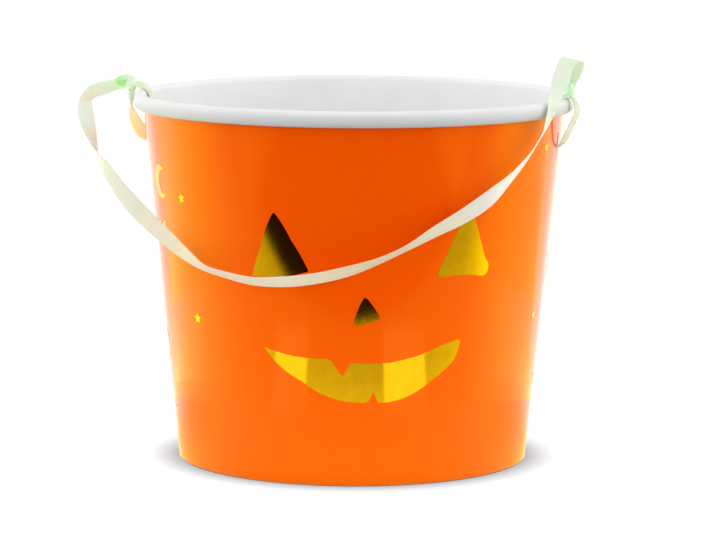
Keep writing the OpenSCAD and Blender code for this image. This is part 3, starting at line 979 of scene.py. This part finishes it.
@dataclass
class Ribbon:
    """One run of the satin ribbon, swept along its route with the pleats that its gathering makes.

    A run may be only a stretch of a longer route, so that two runs meet without a step.
    """
    name: str
    route: Sequence[Row]
    first: int = 0
    last: int = -1
    width: float = 6.0
    thick: float = 0.3
    turn_deg: float = 0.0
    steps: int = 6
    across: int = 12
    pleats: float = 2.5
    pleat_depth: float = 0.7
    edge_share: float = 0.45
    edge_rise: float = 4.0

    def rows(self) -> list[Row]:
        """The whole route's rows on one smooth curve, in millimetres, turned to their place.

        Returns:
            More rows of the same kind.
        """
        last = len(self.route) - 1
        fine = []
        for k in range(last):
            near = [self.route[min(max(k + n, 0), last)] for n in (-1, 0, 1, 2)]
            for n in range(self.steps):
                s = n / self.steps
                fine.append([(q * 2 + (r - p) * s + (p * 2 - q * 5 + r * 4 - t) * s * s
                              + (q * 3 - p - r * 3 + t) * s ** 3) / 2 for p, q, r, t in zip(*near)])
        fine.append(list(self.route[last]))
        turn = Matrix.Rotation(math.radians(self.turn_deg), 3, "Z")
        return [(*(turn @ Vector(row[:3]) / METRES), row[3] + self.turn_deg, row[4], min(row[5], 1.0))
                for row in fine]

    def stretch(self) -> slice:
        """The part of the smooth rows that this run takes."""
        last = self.last % len(self.route)
        return slice(self.first * self.steps, last * self.steps + 1)

    def path(self) -> list[Place]:
        """The ribbon's middle line in metres."""
        return [tuple(Vector(row[:3]) * METRES) for row in self.rows()[self.stretch()]]

    def section(self, share: float) -> list[Place]:
        """The cross-section of the ribbon where it is gathered to a share of its width.

        Args:
            share: Width left, from 0 to 1.

        Returns:
            Sideways place, height and share across of each point, round the section.
        """
        slack = 2 * math.sqrt(max(1 / share - 1, 0))
        wave = self.width * share / (2 * math.pi * self.pleats) * slack * self.pleat_depth
        shares = [k / self.across for k in range(self.across + 1)]
        points = []
        for side, order in ((1, shares), (-1, shares[::-1])):
            for u in order:
                edge = min(1.0, self.edge_rise * min(u, 1 - u) + self.edge_share)
                fold = wave * math.cos(2 * math.pi * self.pleats * u)
                points.append(((0.5 - u) * self.width * share, side * self.thick / 2 * edge + fold, u))
        return points

    def build(self, finish: Material, body: Body | None, nodes: Sequence[str]) -> Object:
        """Models the run of ribbon.

        Args:
            finish: The satin's material.
            body: The CAD body that carries it, or None for one that is tied to no body.
            nodes: CAD nodes that it stands for.

        Returns:
            The ribbon.
        """
        work = bmesh.new()
        weave, shares = add_uv_maps(work)
        rows = self.rows()
        places = [Vector(row[:3]) for row in rows]
        span = range(len(rows))[self.stretch()]
        runs = [0.0]
        for k in span[1:]:
            runs.append(runs[-1] + (places[k] - places[k - 1]).length)
        rings, sections = [], []
        for k in span:
            along = (places[min(k + 1, len(rows) - 1)] - places[max(k - 1, 0)]).normalized()
            yaw, tilt = math.radians(rows[k][3]), math.radians(rows[k][4])
            wide = Vector((math.cos(yaw) * math.cos(tilt), math.sin(yaw) * math.cos(tilt), math.sin(tilt)))
            side = (wide - along * wide.dot(along)).normalized()
            up = along.cross(side)
            sections.append(self.section(rows[k][5]))
            rings.append([work.verts.new(places[k] + side * x + up * y) for x, y, _ in sections[-1]])
        count = len(rings[0])
        for k in range(len(rings) - 1):
            for n in range(count):
                m = (n + 1) % count
                marks = ((n, k), (m, k), (m, k + 1), (n, k + 1))
                face = work.faces.new([rings[ring][point] for point, ring in marks])
                for loop, (point, ring) in zip(face.loops, marks):
                    u = sections[ring][point][2]
                    loop[weave].uv = (u, runs[ring])
                    loop[shares].uv = (u, runs[ring] / runs[-1])
        for ring in (rings[0], rings[-1]):
            for n in range(count // 2 - 1):
                work.faces.new((ring[n], ring[n + 1], ring[count - 2 - n], ring[count - 1 - n]))
        bmesh.ops.recalc_face_normals(work, faces=work.faces)
        return finished(work, self.name, finish, body, nodes, crease_deg=60)

    def declare(self, piece: Object) -> None:
        """Works out the run's middle line in metres, and does nothing more with it.

        Args:
            piece: The run's object; not used.
        """
        path = self.path()


@dataclass
class Knot:
    """A tied knot: two crossed, pleated wraps of ribbon drawn tight round a core, and a folded cut tail."""
    name: str
    node: str
    at: Place
    turn_deg: float
    tail_turn_deg: float
    lean_deg: float
    wrap_r: float
    wrap_w: float
    wrap_t: float = 0.9
    wrap_steps: int = 18
    wrap_turn_steps: int = 48
    crown: float = 0.55
    inner_crown: float = 0.3
    pleats: int = 3
    pleat_h: float = 0.1
    core_gap: float = 0.3
    under_gap: float = 0.12
    tail_start: float = 1.2
    tail_l: float = 8.0
    tail_bow: float = 0.4
    tail_shares: Point = (0.45, 0.12)
    tail_steps: int = 5

    def wrap(self, work: BMesh, radius: float, lean_deg: float) -> None:
        """Adds one wrap: a crowned, pleated band round the upright axis.

        Args:
            work: The mesh that takes the band.
            radius: Radius of the band's crown.
            lean_deg: How far the band leans.
        """
        outer, inner = [], []
        for k in range(self.wrap_steps + 1):
            u = k / self.wrap_steps
            crown = self.crown * (2 * u - 1) ** 2
            fold = self.pleat_h * math.cos(2 * math.pi * self.pleats * u)
            outer.append((radius - crown + fold, (u - 0.5) * self.wrap_w))
            inner.append((radius - self.wrap_t - crown * self.inner_crown, (u - 0.5) * self.wrap_w))
        ring = spun(outer + inner[::-1], self.wrap_turn_steps, closed=True, start_deg=90.0)
        weave, shares = add_uv_maps(ring)
        for face in ring.faces:
            for corner in face.loops:
                co = corner.vert.co
                turn, share = math.atan2(co.y, co.x), co.z / self.wrap_w + 0.5
                corner[weave].uv = (share, turn * radius)
                corner[shares].uv = (share, turn / (2 * math.pi) + 0.5)
        turn_about(ring, ring.verts, lean_deg, "Y")
        merge(ring, work)

    def tail_rows(self) -> list[Row]:
        """The rows of the tail's route, before the knot is turned to its place.

        Returns:
            The rows.
        """
        turn = math.radians(self.tail_turn_deg)
        rows = []
        for k in range(self.tail_steps + 1):
            s = k / self.tail_steps
            reach = self.tail_start + (self.tail_l - self.tail_start) * s
            x, y, z = self.at
            end = Vector((x + reach * math.cos(turn), y,
                          z - reach * math.sin(turn) + self.tail_bow * math.sin(math.pi * s)))
            rows.append((*(end * METRES), 90.0, 0.0, self.tail_shares[0] + self.tail_shares[1] * s))
        return rows

    def build(self, finish: Material) -> None:
        """Models the knot and its tail.

        Args:
            finish: The satin's material.
        """
        work = bmesh.new()
        add_uv_maps(work)
        bmesh.ops.create_uvsphere(work, u_segments=32, v_segments=20, radius=self.wrap_r - self.core_gap)
        self.wrap(work, self.wrap_r, self.lean_deg)
        self.wrap(work, self.wrap_r - self.under_gap, -self.lean_deg)
        place = Matrix.Rotation(math.radians(self.turn_deg), 4, "Z") @ Matrix.Translation(self.at)
        bmesh.ops.transform(work, matrix=place, verts=work.verts)
        finished(work, self.name, finish, Body.PAIL, [self.node], crease_deg=50)
        tail = Ribbon(self.name + "_tail", self.tail_rows(), turn_deg=self.turn_deg, pleats=1.5)
        tail.build(finish, Body.PAIL, [])


@dataclass
class RibbonWork:
    """Every run of the ribbon and the knots.

    The satin's tone stops along each run are painted light and shade that follow its bends, with a painted
    green shade where the layers gather.
    """
    form: PailForm

    def build(self) -> None:
        """Models every run, both knots and the fold over the left one."""
        self.span()
        self.loop()
        self.turns()
        self.knots()

    def span(self) -> None:
        """Models the free span, which hangs across the front and moves with the handle."""
        run = Ribbon("handle_ribbon", FRONT_ROUTE, last=LOOP_FROM)
        # The free span's tone stops are painted light and shade along its length, with a painted green shade
        # at the left knot.
        satin = WovenSatin("satin_handle", (
            (0.0, "#CFFFBE"), (0.03, "#D0FDD5"), (0.07, "#E8FDE2"), (0.11, "#E6FDE2"), (0.155, "#DCFDDE"),
            (0.19, "#D4E6D2"), (0.3, "#DDECCE"), (0.42, "#D4CEB9"), (0.55, "#E3E9CE"), (0.68, "#D6D7B2"),
            (0.8, "#DBE3D1"), (0.87, "#EEFDF9"), (1.0, "#E4F0D6")), see_through=0.5)
        piece = run.build(satin.material(), Body.HANDLE, ["ribbon_handle"])
        piece.visible_glossy = False
        run.declare(piece)

    def loop(self) -> None:
        """Models the standing loop, between the right knot and the foot of the free span."""
        run = Ribbon("standing_loop", FRONT_ROUTE, first=LOOP_FROM)
        # The loop's tone stops are painted light and shade, ending in a painted green shade at the right
        # knot.
        satin = WovenSatin("satin_loop", ((0.0, "#E4F0D6"), (0.35, "#DEECCF"), (0.55, "#DAEBCB"),
                                          (0.8, "#D6EDC2"), (1.0, "#C6F0B4")), see_through=0.6)
        piece = run.build(satin.material(), None, ["ribbon_loop_right"])
        run.path()[-1]
        run.path()[0]
        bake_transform(piece)
        run.declare(piece)

    def turns(self) -> None:
        """Models the turns over the rim and in through the slots."""
        # The right turn's tone stops are painted light and shade along the run, green where it gathers.
        pale = WovenSatin("satin_turn", ((0.0, "#C8F0B8"), (0.12, "#CFE3C0"), (0.3, "#CFD8BE"),
                                         (0.6, "#D4D2BC"), (1.0, "#CCE8BC")))
        # The left turn's orange stops are painted orange light reflected from the printed wall, with painted
        # green shade at both ends.
        warm = WovenSatin("satin_left_turn", ((0.0, "#D8FFCC"), (0.1, "#DCFFD8"), (0.15, "#FFE0A6"),
                                              (0.45, "#FFDB9C"), (0.6, "#F0E8C8"), (0.9, "#E4FAC8"),
                                              (1.0, "#DCFFC8")))
        for side, route, turn_deg, satin in (("right", TURN_RIGHT_ROUTE, self.form.slot_right_deg, pale),
                                             ("left", TURN_LEFT_ROUTE, self.form.slot_left_deg, warm)):
            run = Ribbon(side + "_turn", route, turn_deg=turn_deg)
            run.declare(run.build(satin.material(), Body.PAIL, ["ribbon_turn_" + side]))

    def knots(self) -> None:
        """Models the knots, and the small fold of ribbon that lies over the left one."""
        # The knot's green is painted shade where its layers gather; the tone is lighter half way round each
        # wrap.
        tied = WovenSatin("satin_knot", ((0.0, "#D4FFC8"), (0.5, "#EEFFE6"), (1.0, "#D4FFC8")),
                          see_through=0.0).material()
        Knot("left_knot", "ribbon_knot_left", (2.5, -83.3, 137.1), self.form.slot_left_deg, 174,
             lean_deg=12, wrap_r=2.0, wrap_w=4.7).build(tied)
        Knot("right_knot", "ribbon_knot_right", (0, -80.9, 137.6), self.form.slot_right_deg, 6,
             lean_deg=6, wrap_r=1.72, wrap_w=5.2).build(tied)
        # The fold's vivid green is its painted shaded inside.
        fold_shade_satin = WovenSatin("satin_fold", ((0.0, "#EEFFE2"), (0.35, "#E0FFD0"), (0.6, "#BEFFA6"),
                                          (0.85, "#B4FF98"), (1.0, "#E0FFD4")), see_through=0.0)
        Ribbon("left_fold", FLAP_ROUTE, pleats=1.5).build(fold_shade_satin.material(), Body.PAIL, [])


# ---------------------------------------------------------------------- studio

LEMON = "#FFFFC4"
LAYER = 0.0001
FAR = 6.0
TABLE_EDGE = -0.232
LEFT_EDGE, RIGHT_EDGE = TABLE_EDGE - 0.02, TABLE_EDGE + 0.02


@dataclass(frozen=True)
class Card:
    """A flat stage card over the table, which the camera doesn't see.

    Its outline is in metres, and its layer is its place in the stack of cards, from the table up. Each stop
    of its glow is a place behind the pail's axis in metres, a brightness and a tint. A card that fills
    lights matt surfaces, where the others show in gloss and foil.
    """
    name: str
    outline: Sequence[Point]
    layer: int
    glow: tuple[Glow, ...]
    fill: bool = False


def rectangle(x0: float, x1: float, y0: float, y1: float) -> list[Point]:
    """The corners of a rectangle on the table."""
    return [(x0, y0), (x1, y0), (x1, y1), (x0, y1)]


def fan(start_deg: float, end_deg: float, near: float, far: float, step_deg: float = 7.5) -> list[Point]:
    """The corners of a wedge that fans out from the pail, cut off at the table's edge.

    Args:
        start_deg: Direction of one edge, in degrees from the front.
        end_deg: Direction of the other edge.
        near: Radius where it starts, in metres.
        far: Radius where it ends.
        step_deg: About how far each step of its arcs turns.

    Returns:
        The corners in metres.
    """
    steps = max(1, round(abs(end_deg - start_deg) / step_deg))
    back = arc((0, 0), near, end_deg - 90, start_deg - 90, steps) if near > 0 else [(0.0, 0.0)]
    return [(x, max(y, TABLE_EDGE)) for x, y in arc((0, 0), far, start_deg - 90, end_deg - 90, steps)] + back


TABLE_SIDE_GLOW = ((-0.6, 0.1, LEMON), (-0.4, 0.5, LEMON), (-0.24, 1.0, LEMON))
CARDS = (
    Card("dark_room", ((-FAR, -FAR), (FAR, -FAR), (FAR, RIGHT_EDGE), (0.6, RIGHT_EDGE), (-0.6, LEFT_EDGE),
                       (-FAR, LEFT_EDGE)), 5, ((0.0, 0.02, "#FF9AB0"),)),
    Card("room_fill", rectangle(-FAR, FAR, -FAR, TABLE_EDGE), 9, ((0.0, 0.55, "#FFFFFF"),), fill=True),
    Card("apron", rectangle(-FAR, FAR, LEFT_EDGE, -0.165), 7, ((0.0, 0.3, "#FFFFFF"),), fill=True),
    Card("left_table", rectangle(-0.33, -1.5, -0.6, TABLE_EDGE), 6, TABLE_SIDE_GLOW),
    Card("right_table", rectangle(0.33, 1.5, -0.6, TABLE_EDGE), 6, TABLE_SIDE_GLOW),
    Card("far_left", rectangle(0, -FAR, LEFT_EDGE, FAR), 3, (
        (-0.24, 0.65, LEMON), (-0.17, 1.1, LEMON), (-0.12, 1.5, "#FFFFA0"), (-0.05, 2.1, "#FFFF70"),
        (0.09, 2.5, "#FFFF7C"), (0.23, 2.6, "#FFFF9A"), (0.39, 2.2, "#FFFFB8"), (0.6, 2.0, LEMON))),
    Card("far_right", rectangle(0, FAR, LEFT_EDGE, FAR), 3, (
        (-0.24, 0.65, LEMON), (-0.165, 0.75, LEMON), (-0.12, 1.2, "#FFFFA0"), (-0.07, 1.9, "#FFFF61"),
        (0.02, 2.1, "#FFFF70"), (0.13, 1.7, "#FFFF7C"), (0.27, 1.45, "#FFFF95"), (0.48, 1.8, "#FFFFB8"))),
    Card("mid_left", fan(0, -180, 0, 0.31), 4, (
        (-0.24, 0.65, "#FFFFE0"), (-0.16, 0.95, "#FFFFD0"), (-0.12, 1.25, LEMON), (-0.05, 2.0, "#FFFF95"),
        (0.02, 2.7, "#FFFF95"), (0.09, 2.5, "#FFFFAF"), (0.17, 2.15, "#FFFBDB"), (0.31, 2.0, "#FFFBDB"))),
    Card("mid_right", fan(0, 180, 0, 0.31), 4, (
        (-0.24, 0.65, "#FFFFE0"), (-0.16, 0.88, "#FFFFD0"), (-0.12, 1.1, LEMON), (-0.05, 2.0, "#FFFF95"),
        (-0.01, 2.5, "#FFFF95"), (0.05, 2.2, "#FFFFA0"), (0.12, 1.8, "#FFFFAF"), (0.23, 1.5, "#FFF6DB"),
        (0.31, 1.5, "#FFF0DB"))),
    Card("near_table", fan(0, 360, 0, 0.135), 6, (
        (-0.135, 1.2, "#FFFFF0"), (-0.08, 1.55, "#FFFFD8"), (-0.04, 1.8, "#FFFFA0"), (-0.02, 1.55, "#FFFF87"),
        (0.005, 1.3, "#FFFFB0"), (0.02, 1.3, "#FFFFAF"), (0.06, 1.45, "#FFFFE8"), (0.135, 1.4, "#FFF8FF"))),
    Card("ring_table", fan(0, 360, 0, 0.162), 5, (
        (-0.162, 0.95, "#FFFFE0"), (-0.12, 1.2, LEMON), (-0.05, 1.9, "#FFFFA0"), (0.02, 1.9, "#FFFFA0"),
        (0.09, 1.8, "#FFFFB8"), (0.162, 1.6, "#FFF8E8"))),
    *(Card(f"rear_{name}_{start}", fan(side * start, side * end, 0.14, FAR), 7, glow)
      for side, name in ((-1, "left"), (1, "right"))
      for start, end, glow in (
          (129, 135, ((0.0, 1.9, LEMON),)), (135, 141, ((0.0, 1.6, "#FFFFE8"),)),
          (141, 180, ((0.25, 1.5, "#FFFCF8"), (0.5, 1.7, "#FFFBF0"), (0.9, 1.7, "#FFFBEC"))))),
    Card("bright_band_left", fan(-40, -23, 0.13, 0.225), 8, ((0.0, 1.7, "#FFFFFF"),)),
    Card("bright_band_right", fan(15.5, 37, 0.13, 0.225), 8, ((0.0, 1.65, "#FFFFFF"),)))


@dataclass
class Studio:
    """Camera, pale floor, soft white surroundings and the cards that the gloss and the foil show."""
    camera_at: Place = (0.0, -1.25829, 0.24231)
    look_down_deg: float = 7.759
    roll_deg: float = 0.324
    lens_mm: float = 171.04
    shift: Point = (0.00942, -0.00766)
    sky: float = 1.03
    side_sky: float = 0.8
    top_drop: float = 0.4
    floor_glow: float = 0.97
    floor_grey: str = "#4A4A4A"
    foot_shade: float = 0.012

    def camera(self) -> None:
        """Makes the photograph's camera."""
        data = bpy.data.cameras.new("camera")
        data.lens, data.sensor_width, data.sensor_fit = self.lens_mm, 36.0, "HORIZONTAL"
        data.shift_x, data.shift_y = self.shift
        data.clip_start, data.clip_end = 0.05, 20.0
        made = bpy.data.objects.new("camera", data)
        bpy.context.scene.collection.objects.link(made)
        aim = Matrix.Rotation(math.radians(90 - self.look_down_deg), 4, "X")
        made.matrix_world = (Matrix.Translation(self.camera_at) @ aim
                             @ Matrix.Rotation(math.radians(self.roll_deg), 4, "Z"))
        bpy.context.scene.camera = made

    def card(self, card: Card) -> None:
        """Makes a card.

        Args:
            card: The card's shape, layer and glow.
        """
        work = bmesh.new()
        work.faces.new([work.verts.new((x, y, card.layer * LAYER)) for x, y in card.outline])
        paint, tree, light = new_material(card.name, "Emission")
        place = add_node(tree, "SeparateXYZ", {"Vector": add_node(tree, "TexCoord").outputs["Object"]})
        places, levels, _ = zip(*card.glow)
        low, high, top = places[0], max(places[-1], places[0] + 0.001), max(levels)
        share = add_node(tree, "MapRange", {"Value": place.outputs["Y"], **limits("From", (low, high))})
        ramp = add_node(tree, "ValToRGB", {"Fac": share})
        set_stops(ramp, [((y - low) / (high - low), (*[part * level / top for part in linear(tint)[:3]], 1.0))
                         for y, level, tint in card.glow])
        feed(light, {"Color": ramp, "Strength": top})
        made = placed(work, card.name, paint)
        made.visible_diffuse, made.visible_glossy = card.fill, not card.fill
        made.visible_camera = made.visible_shadow = made.visible_transmission = False

    def floor(self) -> None:
        """Makes the plain white floor, with a soft shade round the pail's foot."""
        work = bmesh.new()
        bmesh.ops.create_grid(work, x_segments=1, y_segments=1, size=FAR)
        paint, tree, shader = new_material("floor_paper")
        shade = add_node(tree, "AmbientOcclusion", {"Distance": self.foot_shade}, samples=4)
        glow = add_node(tree, "Math", {0: shade.outputs["AO"], 1: self.floor_glow}, operation="MULTIPLY")
        feed(shader, {"Base Color": linear(self.floor_grey), "Roughness": 0.9, "Specular IOR Level": 0.0,
                      "Emission Color": (1.0, 1.0, 1.0, 1.0), "Emission Strength": glow})
        placed(work, "floor", paint)

    def world(self) -> None:
        """Sets a white surrounding, brighter at both sides and dimmer above."""
        world = bpy.data.worlds.new("studio")
        world.use_nodes = True
        tree = world.node_tree
        tree.nodes.clear()
        way = add_node(tree, "SeparateXYZ", {"Vector": add_node(tree, "TexCoord").outputs["Generated"]})
        side, top = [add_node(tree, "Math", {0: part, 1: part}, operation="MULTIPLY")
                     for part in (way.outputs["X"], way.outputs["Z"])]
        upper = add_node(tree, "Math", {0: top, 1: -self.top_drop, 2: self.sky}, operation="MULTIPLY_ADD")
        level = add_node(tree, "Math", {0: side, 1: self.side_sky, 2: upper}, operation="MULTIPLY_ADD")
        glow = add_node(tree, "Background", {"Color": (1.0, 1.0, 1.0, 1.0), "Strength": level})
        add_node(tree, "OutputWorld", {"Surface": glow})
        bpy.context.scene.world = world

    def build(self) -> None:
        """Lights and dresses the set."""
        bpy.context.scene.view_settings.view_transform = "Standard"
        bpy.context.scene.view_settings.look = "None"
        self.world()
        self.floor()
        for card in CARDS:
            self.card(card)


# ------------------------------------------------------------------------ main


def main() -> None:
    """Builds the ribbon, the tub, its foil and the set, in that order."""
    logging.basicConfig(level=logging.INFO, format="%(name)s: %(message)s")
    studio = Studio()
    studio.camera()
    form = PailForm()
    RibbonWork(form).build()
    board = CoatedBoard().material()
    BoardWall(form).build(board)
    FloorDisc(form).build(board)
    PrintedWrap(form).build(GlossPrint().material())
    FoilWork(form).build(StampedFoil().material())
    studio.build()


if __name__ == "__main__":
    main()
